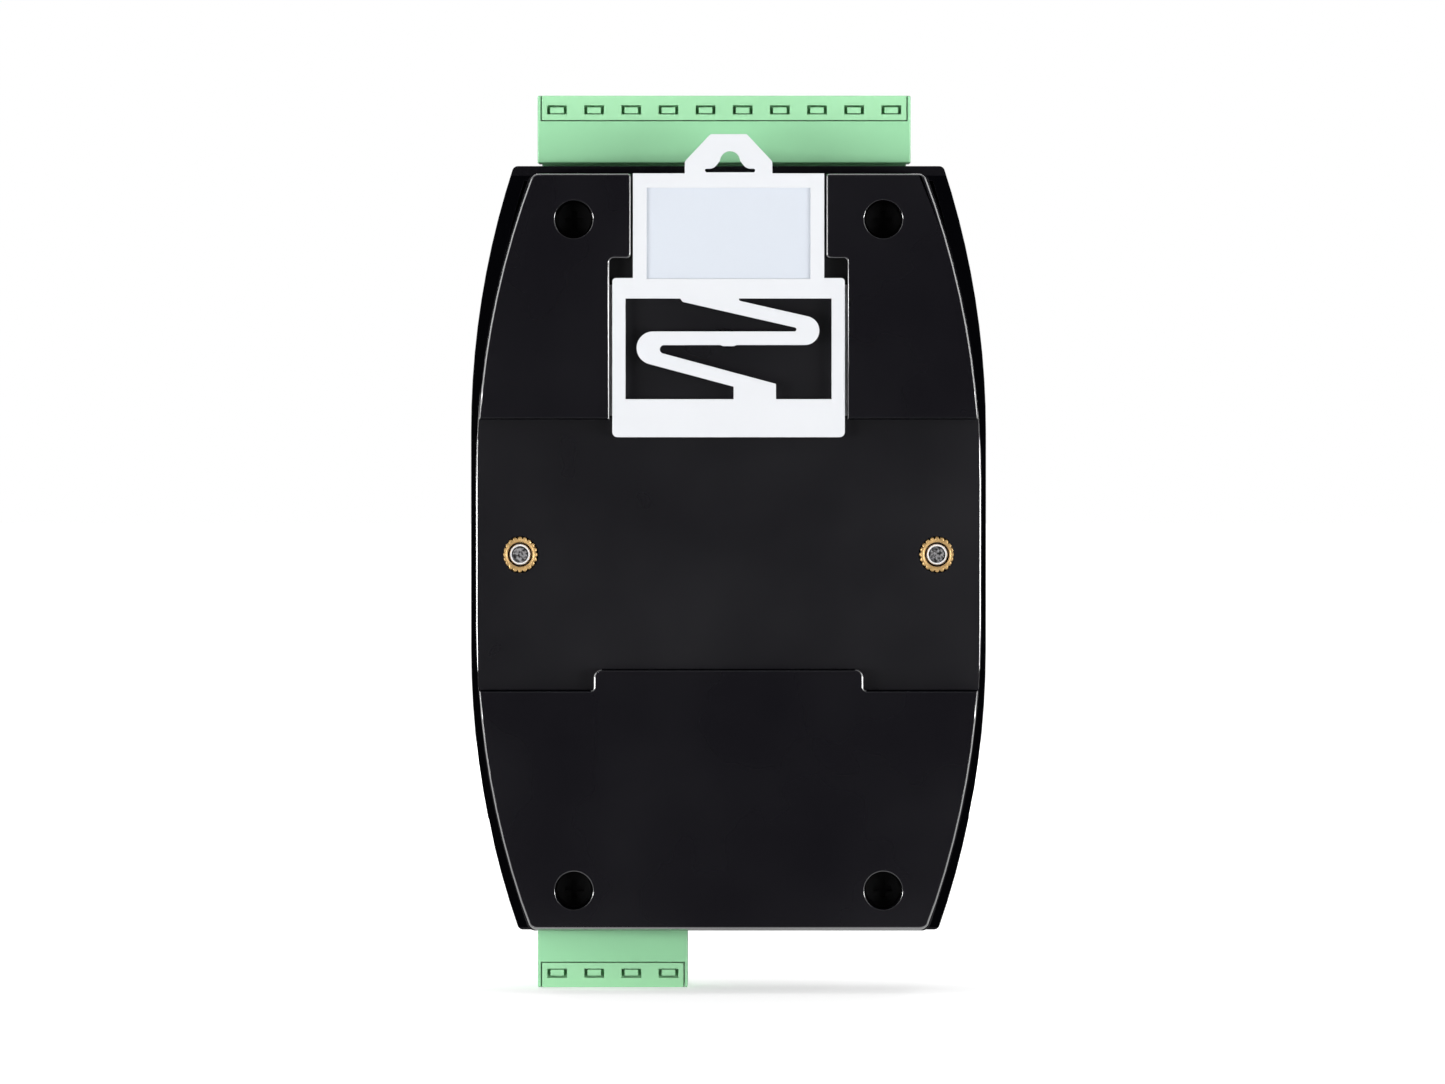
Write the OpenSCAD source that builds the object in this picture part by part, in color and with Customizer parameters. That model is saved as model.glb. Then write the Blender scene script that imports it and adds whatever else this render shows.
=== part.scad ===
// Stepper driver module for a 35 mm top-hat rail.
//
// Frame: the module as it hangs on the rail. +Z is up, +X is to the right seen from behind,
// and +Y points out of the rail to the module's front. The origin is the middle of the rail
// seat: the rail's back plane is y = 0 and its centre line is z = 0.

/* [Rail] */
// Height of the mounting rail over its two flanges
rail_h = 35; // [30:0.5:42]
// Thickness of the rail's sheet
rail_t = 1; // [0.8:0.1:1.3]
// Play above and below the rail in its channel
rail_play = 0.85; // [0.4:0.05:1.2]
// Depth of the rail channel below the rear pads
channel_depth = 3.5; // [3.4:0.1:4.2]
// Reach of the fixed lip over the rail's lower flange
lip_reach = 2; // [1.2:0.1:2.4]
// Width of the fixed lip
lip_w = 36.54; // [20:0.5:44]

/* [Case] */
// Width over the front cover's flanks
case_w = 70.2; // [68:0.1:90]
// Height of the front cover
case_h = 104.1; // [94:0.1:130]
// Depth from the rear pads to the front face
case_d = 35; // [34.5:0.1:44]
// Height of the case's middle above the rail's centre line
case_rise = 0.75; // [0:0.05:2]
// How far the bulged sides come in at the cover's top end
end_drop = 5.825; // [2:0.005:6.5]
// Length of the front cover's straight flank
flank_h = 29.5; // [20:0.5:34]
// Height of the flank's middle above the rail's centre line
flank_rise = 1.75; // [0:0.05:2]
// Wall of both shells
wall = 2; // [1.6:0.1:2.2]
// Depth of the rear shell in front of the rail's back plane
rear_d = 8; // [7.4:0.1:9]
// Bevel round the cover's front face
front_bevel = 1.6; // [0.8:0.1:1.8]

/* [Rear shell] */
// Step from the cover's flank in to the rear shell
rear_step_side = 0.65; // [0.4:0.05:1.2]
// Step at the top end
rear_step_top = 1.2; // [0.4:0.05:2]
// Step at the bottom end
rear_step_bottom = 0.25; // [0.2:0.05:1]
// Step from the rear shell's side in to its pads
pad_step = 0.35; // [0.1:0.05:0.6]
// Length of the rear shell's straight flank
rear_flank_h = 20; // [10:1:28]
// How far the rear shell's bulged sides come in at its top end
rear_end_drop = 7.575; // [3:0.005:8]
// Distance of the corner bores from the cover's flank
bore_in_side = 14.15; // [13:0.05:16]
// Distance of the upper corner bores from the cover's top end
bore_in_top = 7.35; // [6.6:0.05:9]
// Distance of the lower corner bores from the cover's bottom end
bore_in_bottom = 5.85; // [5.6:0.05:8]
// Radius of the corner bores
bore_r = 2.6; // [2.5:0.05:3]
// Radius of the bosses round the corner bores
boss_r = 4; // [3.6:0.1:4.4]

/* [Grip ribs] */
// Height of the ribbed patch on each flank
grip_h = 29.2; // [20:0.2:29.4]
// Height of the patch's middle above the rail's centre line
grip_rise = 0.3; // [0:0.05:1]
// Depth of the patch below the flank
grip_depth = 0.33; // [0.2:0.01:0.5]
// Pitch of the ribs
grip_pitch = 1; // [0.8:0.05:2]
// Depth of the grooves between the ribs
grip_groove = 0.18; // [0.1:0.01:0.4]

/* [Latch] */
// Thickness of the latch
latch_t = 3.1; // [2.8:0.1:3.2]
// Reach of the latch's hook over the rail's upper flange
latch_reach = 1.55; // [1:0.05:2]
// Half width of the latch's lower frame
latch_frame_hw = 15.74; // [15:0.01:16]
// Half width of the latch's upper plate
latch_plate_hw = 13.09; // [12:0.01:13.5]
// Half width over the wings that run in the grooves
latch_wing_hw = 16.9; // [16.6:0.05:17.5]
// Thickness of the wings
latch_wing_t = 1.3; // [1:0.1:1.6]
// Height of the frame's lower bar, hook included
frame_sill = 5.15; // [4.6:0.05:6]
// Height of the window in the frame
window_h = 13.63; // [13.4:0.01:14.4]
// Height of the frame's upper bar
frame_head = 2.77; // [2:0.01:4]
// Travel of the latch
latch_travel = 2.5; // [1.5:0.1:3]
// Half width of the window in the frame
window_hw = 13.96; // [13:0.01:14.2]
// Half width of the recessed panel
panel_hw = 11.08; // [9:0.1:12]
// Depth of the recessed panel
panel_depth = 0.7; // [0.3:0.1:1.2]
// Half width of the pull tab's neck
tab_hw = 5.93; // [4:0.1:8]
// Half width of the pull tab's tip
tab_tip_hw = 2.45; // [2:0.05:4]
// Height of the pull tab
tab_h = 5.3; // [4.6:0.1:7]
// Thickness of the pull tab
tab_t = 2.1; // [1.6:0.1:2.4]

/* [Latch spring] */
// Width of the spring's arms
spring_w = 1.9; // [1.6:0.05:2]
// Distance of the bends from the middle
bend_x = 10.51; // [9:0.05:11]
// Radius of the bends at the middle of the arm
bend_r = 1.15; // [1.1:0.05:1.3]
// Height of the level middle arm above the window's lower edge
spring_rise = 8.2; // [7.9:0.05:8.5]
// Slope of the upper arm, in degrees
upper_slope = 12.7; // [12:0.1:13.5]
// Slope of the lower arm, in degrees
lower_slope = 14.5; // [14:0.1:15.5]
// Radius of the peg that holds the middle arm
peg_r = 1.3; // [1:0.05:1.4]
// Length of the peg
peg_h = 1.5; // [1:0.1:1.8]

/* [Terminal plugs] */
// Pitch of the terminals
pitch = 5.08; // [4.2:0.01:5.2]
// Terminals of the upper plug
poles_top = 10; // [2:1:10]
// Terminals of the lower plug
poles_bottom = 4; // [2:1:4]
// Left edge of both plugs
plug_left = -26.1; // [-27:0.05:-25.5]
// Width of a plug beyond its terminals
plug_extra_w = 0.2; // [0:0.05:0.7]
// Height of a plug from its rear face to its screw face
plug_h = 15; // [14.4:0.1:15.2]
// Length of the plug's outer block
plug_block = 9.2; // [9:0.05:9.6]
// Length of the plug's neck, which enters the header
plug_neck = 8.3; // [8:0.1:9]
// Length of the wire-entry strip
cap_l = 3.5; // [3:0.1:3.6]
// Wall of the plug that stands at each end of the strip
cap_side = 0.4; // [0.3:0.05:0.6]
// How far the upper plug stands out of the case
stand_top = 9.7; // [9.4:0.1:11]
// How far the lower plug stands out of the case
stand_bottom = 8.2; // [8:0.1:9]
// How far each plug travels until it is off its header
plug_travel = 12; // [8:1:20]

/* [Board] */
// Back of the circuit board in front of the rail's back plane
board_y = 11.9; // [11.5:0.1:12.2]
// Thickness of the circuit board
board_t = 1.6; // [1:0.1:1.6]
// Gap from the board to the shells
board_gap = 0.5; // [0.3:0.1:1]
// Distance of the cover screws from the cover's flank
screw_in_side = 6.8; // [6.6:0.05:9]
// Radius of the posts round the cover screws
post_r = 4.4; // [4:0.1:4.6]

/* [Front] */
// Half width of the bare label
label_hw = 20; // [12:0.5:21]
// Half height of the bare label
label_hh = 40; // [30:0.5:42]
// Thickness of the label, and of the pocket it lies in
label_t = 0.3; // [0.2:0.05:0.5]
// Number of light pipes
led_count = 4; // [1:1:4]
// Pitch of the light pipes
led_pitch = 6; // [5:0.5:8]
// Radius of the light pipes
led_r = 1.25; // [1:0.05:1.5]

/* [Hidden] */
$fn = 48;
cut = 0.5;                       // how far a cut runs past the face it opens
fit = 0.1;                       // clearance between pieces that slide or plug together
seat = 0.05;                     // clearance round screws and inserts
arc_steps = 10;                  // chords in each arc of the bulged sides

case_top = case_rise + case_h / 2;
case_bottom = case_rise - case_h / 2;
front_y = case_d - channel_depth;
rear_top = case_top - rear_step_top;
rear_bottom = case_bottom + rear_step_bottom;
rear_hw = case_w / 2 - rear_step_side;
// The radius of an arc that comes in by drop over a height.
function arc_r(height, drop) = (height * height + drop * drop) / (2 * drop);
side_r = arc_r(case_top - flank_rise - flank_h / 2, end_drop);
rear_r = arc_r(rear_top - rear_flank_h / 2, rear_end_drop);
channel_hw = rail_h / 2 + rail_play;
lip_z = lip_reach - rail_h / 2;
lip_slot = rail_t + 0.2;

bore_x = case_w / 2 - bore_in_side;
bore_z_top = case_top - bore_in_top;
bore_z_bottom = case_bottom + bore_in_bottom;
post_x = case_w / 2 - screw_in_side;
head_seat = 4.5;                 // depth at which the board screws' heads sit
board_screw_r = 1.2;
board_head_r = 2.3;
board_head_h = 1.8;
cover_screw_r = 1.5;
cover_head_r = 2.75;
cover_head_h = 2.4;
cover_head_y = front_y - 4;      // seat of the cover screws' heads
insert_r = 2.45;
insert_l = 6.5;
insert_bore_r = 1.625;

latch_back = -channel_depth + 0.2;
latch_in = latch_back + latch_t;
latch_bottom = rail_h / 2 - latch_reach;
window_lo = latch_bottom + frame_sill;
window_hi = window_lo + window_h;
latch_shoulder = window_hi + frame_head;
spring_z = window_lo + spring_rise;
latch_top = rear_top + 0.06;
guide_frame_hw = latch_frame_hw + 0.62;
guide_plate_hw = latch_plate_hw + 0.34;
guide_wing_hw = latch_wing_hw + 0.3;
guide_step = latch_shoulder + latch_travel + 0.2;
wing_depth = latch_wing_t - latch_in + 0.2;

front_of_board = board_y + board_t;
plug_y = front_of_board + 0.5;   // rear face of the plugs
cage_w = pitch - 1.18;
cage_l = 4.6;
cage_h = 7.6;
cage_low = 1.4;                  // height of an open cage above the plug's rear face
cage_nut = 2;
cage_floor = 0.9;
clamp_u = 6.2;                   // distance of a clamp screw from the plug's outer end
bar_v = 5.9;                     // height of the contact bar above the plug's rear face
bar_t = 0.8;
head_v = 12.2;                   // height of the clamp screw's head seat
pin_w = 1;
pin_v = bar_v + bar_t / 2;
header_mouth = 12;               // distances from the plug's outer end
header_back = 19.9;
header_wall = 2;
pin_leg = 21.1;
led_x = 9;                       // right-hand light pipe of the row
led_z = -33;
led_h = 1.4;

top_poles = [for (i = [1:poles_top]) i];
bottom_poles = [for (i = [1:poles_bottom]) i];

// ---- Shared shapes ----

// A flat shape drawn in x and z, as thick as from y = from to y = to.
module slab(from, to)
    translate([0, to, 0]) rotate([90, 0, 0]) linear_extrude(to - from) children();

// A box between two corners.
module block(low, high)
    translate(low) cube(high - low);

// A round bar along Y.
module bar_y(x, z, from, to, r)
    translate([x, from, z]) rotate([-90, 0, 0]) cylinder(h = to - from, r = r);

// How far a bulged side has come in at a height past its flank.
function side_drop(r, past) = past <= 0 ? 0 : r - sqrt(r * r - past * past);

// One side of a bulged outline, from its bottom end to its top end.
function side_points(hw, r, low, flank_lo, flank_hi, high) = concat(
    [for (i = [0:arc_steps]) let (z = low + (flank_lo - low) * i / arc_steps)
        [hw - side_drop(r, flank_lo - z), z]],
    [for (i = [0:arc_steps]) let (z = flank_hi + (high - flank_hi) * i / arc_steps)
        [hw - side_drop(r, z - flank_hi), z]]);

function reversed(list) = [for (i = [len(list) - 1:-1:0]) list[i]];

module bulged(hw, r, low, flank_lo, flank_hi, high) {
    side = side_points(hw, r, low, flank_lo, flank_hi, high);
    polygon(concat(side, [for (p = reversed(side)) [-p.x, p.y]]));
}

// The front cover's outline, moved in by inset.
module cover_outline(inset)
    bulged(case_w / 2 - inset, side_r - inset, case_bottom + inset, flank_rise - flank_h / 2,
           flank_rise + flank_h / 2, case_top - inset);

// The rear shell's outline, moved in by inset at its sides and by end_inset at its ends.
module rear_outline(inset, end_inset)
    bulged(rear_hw - inset, rear_r - inset, rear_bottom + end_inset, -rear_flank_h / 2,
           rear_flank_h / 2, rear_top - end_inset);

module at_corners()
    for (x = [-bore_x, bore_x], z = [bore_z_bottom, bore_z_top]) translate([x, 0, z]) children();

module at_posts()
    for (x = [-post_x, post_x]) translate([x, 0, 0]) children();

// ---- Shells ----

module rear_case() color([0.09, 0.09, 0.1]) difference() {
    union() {
        difference() {
            union() {
                slab(-channel_depth, 0) rear_outline(pad_step, 0);
                slab(0, rear_d) rear_outline(0, 0);
            }
            slab(wall, rear_d + cut) rear_outline(wall, wall);
            slab(wall - channel_depth, wall + cut) pad_hollows();
            block([-case_w, -channel_depth - cut, -channel_hw], [case_w, 0, channel_hw]);
            latch_guide();
        }
        at_corners() bar_y(0, 0, -channel_depth, rear_d, boss_r);
        at_posts() bar_y(0, 0, 0, rear_d, post_r);
        block([-lip_w / 2, -channel_depth, -channel_hw - wall], [lip_w / 2, -lip_slot, lip_z]);
        bar_y(0, spring_z, -peg_h, wall, peg_r);
        locating_ribs();
    }
    block([-lip_w, -lip_slot, -channel_hw], [lip_w, 0, lip_z + cut]);
    at_corners() {
        bar_y(0, 0, -channel_depth - cut, head_seat, bore_r);
        bar_y(0, 0, 0, rear_d + cut, board_screw_r + 0.2);
    }
    at_posts() {
        bar_y(0, 0, -cut, insert_l + 0.1, insert_r + seat);
        bar_y(0, 0, 0, rear_d + cut, cover_screw_r + 0.2);
    }
}

// The pads are hollow from inside, clear of the channel and of the latch's guideway.
module pad_hollows() intersection() {
    rear_outline(wall + pad_step, wall);
    union() {
        translate([-case_w, rear_bottom]) square([2 * case_w, -channel_hw - wall - rear_bottom]);
        for (s = [-1, 1]) translate([s * (case_w + guide_wing_hw + wall), 0])
            translate([-case_w, channel_hw + wall]) square([2 * case_w, case_h]);
    }
}

// The guideway: a wide part for the frame, a narrow one for the plate, and grooves for the wings.
module latch_guide() {
    low = -channel_depth - cut;
    block([-guide_frame_hw, low, 0], [guide_frame_hw, 0, guide_step]);
    block([-guide_plate_hw, low, 0], [guide_plate_hw, 0, case_top]);
    block([-guide_wing_hw, -wing_depth, 0], [guide_wing_hw, 0, guide_step]);
}

// Four upright ribs inside the flanks, which centre the front cover on the rear shell.
module locating_ribs() {
    rib_z = [8, 22];
    rib_out = case_w / 2 - wall - side_drop(side_r - wall, rib_z[1] - rear_flank_h / 2) - 0.4;
    for (x = [-1, 1], z = [-1, 1])
        block([min(x * rib_out, x * (rib_out - 1.3)), wall, min(z * rib_z[0], z * rib_z[1])],
              [max(x * rib_out, x * (rib_out - 1.3)), rear_d + 2, max(z * rib_z[0], z * rib_z[1])]);
}

module front_cover() color([0.08, 0.08, 0.09]) difference() {
    union() {
        difference() {
            hull() {
                slab(rear_d, front_y - front_bevel) cover_outline(0);
                slab(front_y - front_bevel / 2, front_y) cover_outline(front_bevel);
            }
            slab(rear_d - cut, front_y - wall) cover_outline(wall);
        }
        at_posts() bar_y(0, 0, rear_d, front_y - wall / 2, post_r);
    }
    at_posts() {
        bar_y(0, 0, rear_d - cut, front_y, cover_screw_r + 0.2);
        bar_y(0, 0, cover_head_y, front_y + cut, cover_head_r + 0.35);
    }
    plug_opening(poles_top, case_top - wall - cut, case_top + cut);
    plug_opening(poles_bottom, case_bottom - cut, case_bottom + wall + cut);
    block([-label_hw - fit, front_y - label_t, case_rise - label_hh - fit],
          [label_hw + fit, front_y + cut, case_rise + label_hh + fit]);
    at_leds() bar_y(0, 0, front_y - wall - cut, front_y + cut, led_r + seat);
    for (s = [-1, 1]) grip_cut(s);
}

// The window in an end wall that a plug goes through.
module plug_opening(poles, z_low, z_high)
    block([plug_left - 0.3, plug_y - 0.3, z_low],
          [plug_left + plug_w(poles) + 0.3, plug_y + plug_h + 0.25, z_high]);

// The sunk patch on a flank, and the grooves that leave the ribs.
module grip_cut(s) {
    low = grip_rise - grip_h / 2;
    face = case_w / 2 - grip_depth;
    from = rear_d + 2.5;
    to = front_y - front_bevel - 1;
    module at_side(x_in, z0, z1)
        block([min(s * x_in, s * case_w), from, z0], [max(s * x_in, s * case_w), to, z1]);
    at_side(face, low, low + grip_h);
    for (i = [0:floor(grip_h / grip_pitch) - 1])
        at_side(face - grip_groove, low + (i + 0.35) * grip_pitch, low + (i + 0.85) * grip_pitch);
}

module front_overlay() color([0.82, 0.84, 0.85]) difference() {
    block([-label_hw, front_y - label_t, case_rise - label_hh],
          [label_hw, front_y, case_rise + label_hh]);
    at_leds() bar_y(0, 0, front_y - wall, front_y + cut, led_r + seat);
}

module at_leds()
    for (i = [0:led_count - 1]) translate([led_x - i * led_pitch, 0, led_z]) children();

module light_pipes() color([0.9, 0.95, 0.92, 0.6])
    at_leds() bar_y(0, 0, front_of_board + led_h, front_y, led_r);

// ---- Fasteners ----

module thread_inserts() color([0.84, 0.68, 0.41]) at_posts() difference() {
    bar_y(0, 0, 0.1, insert_l, insert_r);
    bar_y(0, 0, 0, insert_l + cut, insert_bore_r);
    for (i = [0:19]) rotate([0, 18 * i, 0]) bar_y(insert_r + 0.1, 0, 0, 1.6, 0.3);
}

// A pan-head screw whose head sits at y = seat_y; turn is -1 when the head faces -Y.
module screw(seat_y, tip_y, r, head_r, head_h, turn) {
    head_y = seat_y + turn * head_h;
    difference() {
        union() {
            bar_y(0, 0, min(seat_y, tip_y), max(seat_y, tip_y), r);
            bar_y(0, 0, min(seat_y, head_y), max(seat_y, head_y), head_r);
        }
        for (w = [[head_r * 0.55, 0.35], [0.35, head_r * 0.55]])
            block([-w.x, head_y - (turn > 0 ? 1 : cut), -w.y],
                  [w.x, head_y + (turn > 0 ? cut : 1), w.y]);
    }
}

module cover_screws() color([0.75, 0.76, 0.78])
    at_posts() screw(cover_head_y, 0.8, cover_screw_r, cover_head_r, cover_head_h, 1);

module board_screws() color([0.6, 0.61, 0.63])
    at_corners() screw(head_seat, board_y - 0.6, board_screw_r, board_head_r, board_head_h, -1);

module board_spacers() color([0.8, 0.65, 0.4]) at_corners() difference() {
    bar_y(0, 0, rear_d, board_y, board_screw_r * 2);
    bar_y(0, 0, rear_d - cut, board_y - 0.3, board_screw_r + seat);
}

// ---- Board and what is on it ----

board_hw = case_w / 2 - side_drop(side_r, case_top - flank_rise - flank_h / 2) - wall - board_gap;
board_lo = case_bottom + wall + 0.4;
board_hi = case_top - wall - 0.4;

module circuit_board() color([0.05, 0.3, 0.16]) difference() {
    block([-board_hw, board_y, board_lo], [board_hw, front_of_board, board_hi]);
    at_posts() bar_y(0, 0, board_y - cut, front_of_board + cut, post_r + 0.4);
    each_leg() bar_y(0, 0, board_y - cut, front_of_board + cut, 0.8);
}

// A body on the board's front, centred at x and z.
module on_board(x, z, size)
    translate([x - size.x / 2, front_of_board, z - size.z / 2]) cube(size);

driver_at = [9, 11];
driver_size = [14, 1.6, 14];
pad_t = 1;

module driver_chip() color([0.12, 0.12, 0.13]) on_board(driver_at.x, driver_at.y, driver_size);

module thermal_pad() color([0.55, 0.6, 0.68])
    translate([0, driver_size.y, 0])
        on_board(driver_at.x, driver_at.y, [driver_size.x, pad_t, driver_size.z]);

module heat_sink() color([0.7, 0.71, 0.73]) {
    base = front_of_board + driver_size.y + pad_t;
    sink_w = 26;
    sink_h = 9;
    fin_count = 7;
    fin_t = 1.2;
    difference() {
        block([driver_at.x - sink_w / 2, base, driver_at.y - sink_w / 2],
              [driver_at.x + sink_w / 2, base + sink_h, driver_at.y + sink_w / 2]);
        for (i = [0:fin_count - 2]) {
            gap = (sink_w - fin_t * fin_count) / (fin_count - 1);
            x = driver_at.x - sink_w / 2 + fin_t + i * (gap + fin_t);
            block([x, base + 2.5, driver_at.y - sink_w], [x + gap, base + sink_h + cut, driver_at.y + sink_w]);
        }
    }
}

module sense_resistors() color([0.16, 0.16, 0.17])
    for (x = [4.5, 13.5]) on_board(driver_at.x - 9 + x, driver_at.y - 16, [6.4, 0.7, 3.2]);

module bulk_capacitors() color([0.15, 0.17, 0.24])
    for (z = [27, 15]) bar_y(-18, z, front_of_board, front_of_board + 14, 5);

module power_inductor() color([0.3, 0.31, 0.32]) on_board(18, -13, [10, 5, 10]);

module microcontroller() color([0.12, 0.12, 0.13]) on_board(-8, -14, [10, 1.4, 10]);

module crystal() color([0.72, 0.73, 0.75]) on_board(-19, -13, [5, 1.2, 3.2]);

module bus_transceiver() color([0.12, 0.12, 0.13]) on_board(-18, -25, [5, 1.6, 4]);

module optocouplers() color([0.14, 0.14, 0.15])
    for (i = [0:3]) on_board(3 + 6 * i, -41, [4.6, 3.4, 6.5]);

module small_capacitors() color([0.7, 0.6, 0.45])
    for (x = [-12, -8, -4, 0], z = [-24, -28]) on_board(x, z, [3.2, 1.3, 1.6]);

module indicator_leds() color([0.85, 0.9, 0.85])
    at_leds() translate([-1, front_of_board, -0.8]) cube([2, led_h, 1.6]);

// ---- Terminal plugs and headers ----

function plug_w(poles) = poles * pitch + plug_extra_w;

// Places children in a plug's own frame: x across, y out from its rear face and z from its outer
// end, positive outwards. The lower plug is the same piece turned end for end.
module upper_plug() translate([0, plug_y, case_top + stand_top]) children();
module lower_plug() translate([0, plug_y, case_bottom - stand_bottom]) mirror([0, 0, 1]) children();

function pole_x(i) = plug_left + plug_extra_w / 2 + (i - 0.5) * pitch;

module at_poles(poles) for (i = [1:poles]) translate([pole_x(i), 0, 0]) children();

cavity_w = cage_w + 0.3;
cavity_end = clamp_u + cage_l / 2 + 0.2;
neck_low = 1.6;
neck_high = 12.4;

module plug_shell(poles) {
    w = plug_w(poles);
    difference() {
        union() {
            block([plug_left, 0, -plug_block], [plug_left + w, plug_h, -cap_l]);
            for (x = [plug_left, plug_left + w - cap_side])
                block([x, 0, -plug_block], [x + cap_side, plug_h, 0]);
            block([plug_left + 0.6, neck_low, -plug_block - plug_neck],
                  [plug_left + w - 0.6, neck_high, -plug_block + cut]);
        }
        at_poles(poles) {
            block([-cavity_w / 2, cage_low - 0.2, -cavity_end], [cavity_w / 2, head_v - 0.4, -cap_l + cut]);
            bar_y(0, -clamp_u, head_v - 1, plug_h + cut, screw_hole_r);
            block([-contact_w / 2 - 0.15, pin_v - contact_t / 2 - 0.15, -plug_block - plug_neck - cut],
                  [contact_w / 2 + 0.15, pin_v + contact_t / 2 + 0.15, -cavity_end + cut]);
        }
    }
}

// The strip that closes the cages in, between the shell's end walls. It has a funnel for each
// wire, and sunk clip windows in its rear face.
module plug_cap(poles) {
    w = plug_w(poles);
    side = cap_side + seat;
    window = [2.7, 0.9, 1.25];
    wire_v = cage_low + cage_floor + 1.8;
    wire_r = 1.75;
    difference() {
        block([plug_left + side, 0, -cap_l], [plug_left + w - side, plug_h, 0]);
        at_poles(poles) {
            translate([0, wire_v, -cap_l - cut]) cylinder(h = cap_l + 2 * cut, r = wire_r);
            translate([0, wire_v, -1.4]) cylinder(h = 1.4 + fit, r1 = wire_r, r2 = wire_r + 0.5);
            difference() {
                block([-window.x / 2, -cut, -1.3 - window.z], [window.x / 2, window.y, -1.3]);
                block([-0.75, 0.25, -1.3 - window.z], [0.75, window.y + cut, -1.6]);
            }
        }
    }
}

contact_w = 2.6;
contact_t = 2.6;
bar_hw = cage_w / 2 - 0.75;

// Each contact is a flat bar inside its cage and a fork that grips the header's pin.
module plug_contacts(poles) at_poles(poles) difference() {
    union() {
        block([-bar_hw, bar_v, -cavity_end - 1], [bar_hw, bar_v + bar_t, -clamp_u + cage_l / 2 - 0.2]);
        block([-contact_w / 2, pin_v - contact_t / 2, -plug_block - plug_neck + 0.3],
              [contact_w / 2, pin_v + contact_t / 2, -cavity_end - 0.4]);
    }
    block([-pin_w / 2 - 0.2, pin_v - pin_w / 2 - fit, -plug_block - plug_neck - cut],
          [pin_w / 2 + 0.2, pin_v + pin_w / 2 + fit, -header_mouth - 0.8]);
}

screw_hole_r = cage_w / 2 + 0.15;
clamp_head_r = screw_hole_r - 0.2;
clamp_shank_r = cage_w / 2 - 0.7;

module clamp_screw() translate([0, 0, -clamp_u]) difference() {
    union() {
        bar_y(0, 0, head_v, plug_h - 0.6, clamp_head_r);
        bar_y(0, 0, bar_v + bar_t + 0.2, head_v + cut, clamp_shank_r);
    }
    block([-clamp_head_r - cut, plug_h - 1.6, -0.3], [clamp_head_r + cut, plug_h, 0.3]);
}

module clamp_cage() difference() {
    block([-cage_w / 2, cage_low, -clamp_u - cage_l / 2], [cage_w / 2, cage_low + cage_h, -clamp_u + cage_l / 2]);
    block([-cage_w / 2 + 0.5, cage_low + cage_floor, -clamp_u - cage_l],
          [cage_w / 2 - 0.5, cage_low + cage_h - cage_nut, -clamp_u + cage_l]);
    bar_y(0, -clamp_u, cage_low + cage_floor + cut, cage_low + cage_h + cut, clamp_shank_r + fit);
}

module header(poles) {
    w = plug_w(poles);
    difference() {
        block([plug_left - 0.7, -0.5, -header_back], [plug_left + w + 0.7, neck_high + 1.4, -header_mouth]);
        block([plug_left + 0.6 - 0.15, neck_low - 0.15, -header_back + header_wall],
              [plug_left + w - 0.6 + 0.15, neck_high + 0.15, -header_mouth + cut]);
        at_poles(poles)
            block([-pin_w / 2 - fit, pin_v - pin_w / 2 - fit, -header_back - cut],
                  [pin_w / 2 + fit, pin_v + pin_w / 2 + fit, -header_back + header_wall + cut]);
    }
}

module pin_row(poles) at_poles(poles) {
    block([-pin_w / 2, pin_v - pin_w / 2, -pin_leg - pin_w], [pin_w / 2, pin_v + pin_w / 2, -header_mouth - 1]);
    block([-pin_w / 2, board_y - 2 - plug_y, -pin_leg - pin_w],
          [pin_w / 2, pin_v + pin_w / 2, -pin_leg]);
}

// Calls children at every pin's leg, in the part's frame.
module each_leg() {
    z = pin_leg + pin_w / 2;
    for (i = top_poles) translate([pole_x(i), 0, case_top + stand_top - z]) children();
    for (i = bottom_poles) translate([pole_x(i), 0, case_bottom - stand_bottom + z]) children();
}

green = [0.45, 0.72, 0.5];
tin = [0.78, 0.79, 0.8];

module header_10() color(green) upper_plug() header(poles_top);
module header_4() color(green) lower_plug() header(poles_bottom);
module header_pins() color(tin) {
    upper_plug() pin_row(poles_top);
    lower_plug() pin_row(poles_bottom);
}
module plug_10_shell() color(green) upper_plug() plug_shell(poles_top);
module plug_4_shell() color(green) lower_plug() plug_shell(poles_bottom);
module plug_10_cap() color(green) upper_plug() plug_cap(poles_top);
module plug_4_cap() color(green) lower_plug() plug_cap(poles_bottom);
module plug_10_contacts() color(tin) upper_plug() plug_contacts(poles_top);
module plug_4_contacts() color(tin) lower_plug() plug_contacts(poles_bottom);
module plug_10_screw(i) color(tin) upper_plug() translate([pole_x(i), 0, 0]) clamp_screw();
module plug_4_screw(i) color(tin) lower_plug() translate([pole_x(i), 0, 0]) clamp_screw();
module plug_10_cage(i) color(tin) upper_plug() translate([pole_x(i), 0, 0]) clamp_cage();
module plug_4_cage(i) color(tin) lower_plug() translate([pole_x(i), 0, 0]) clamp_cage();

// ---- Rail latch ----

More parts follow.
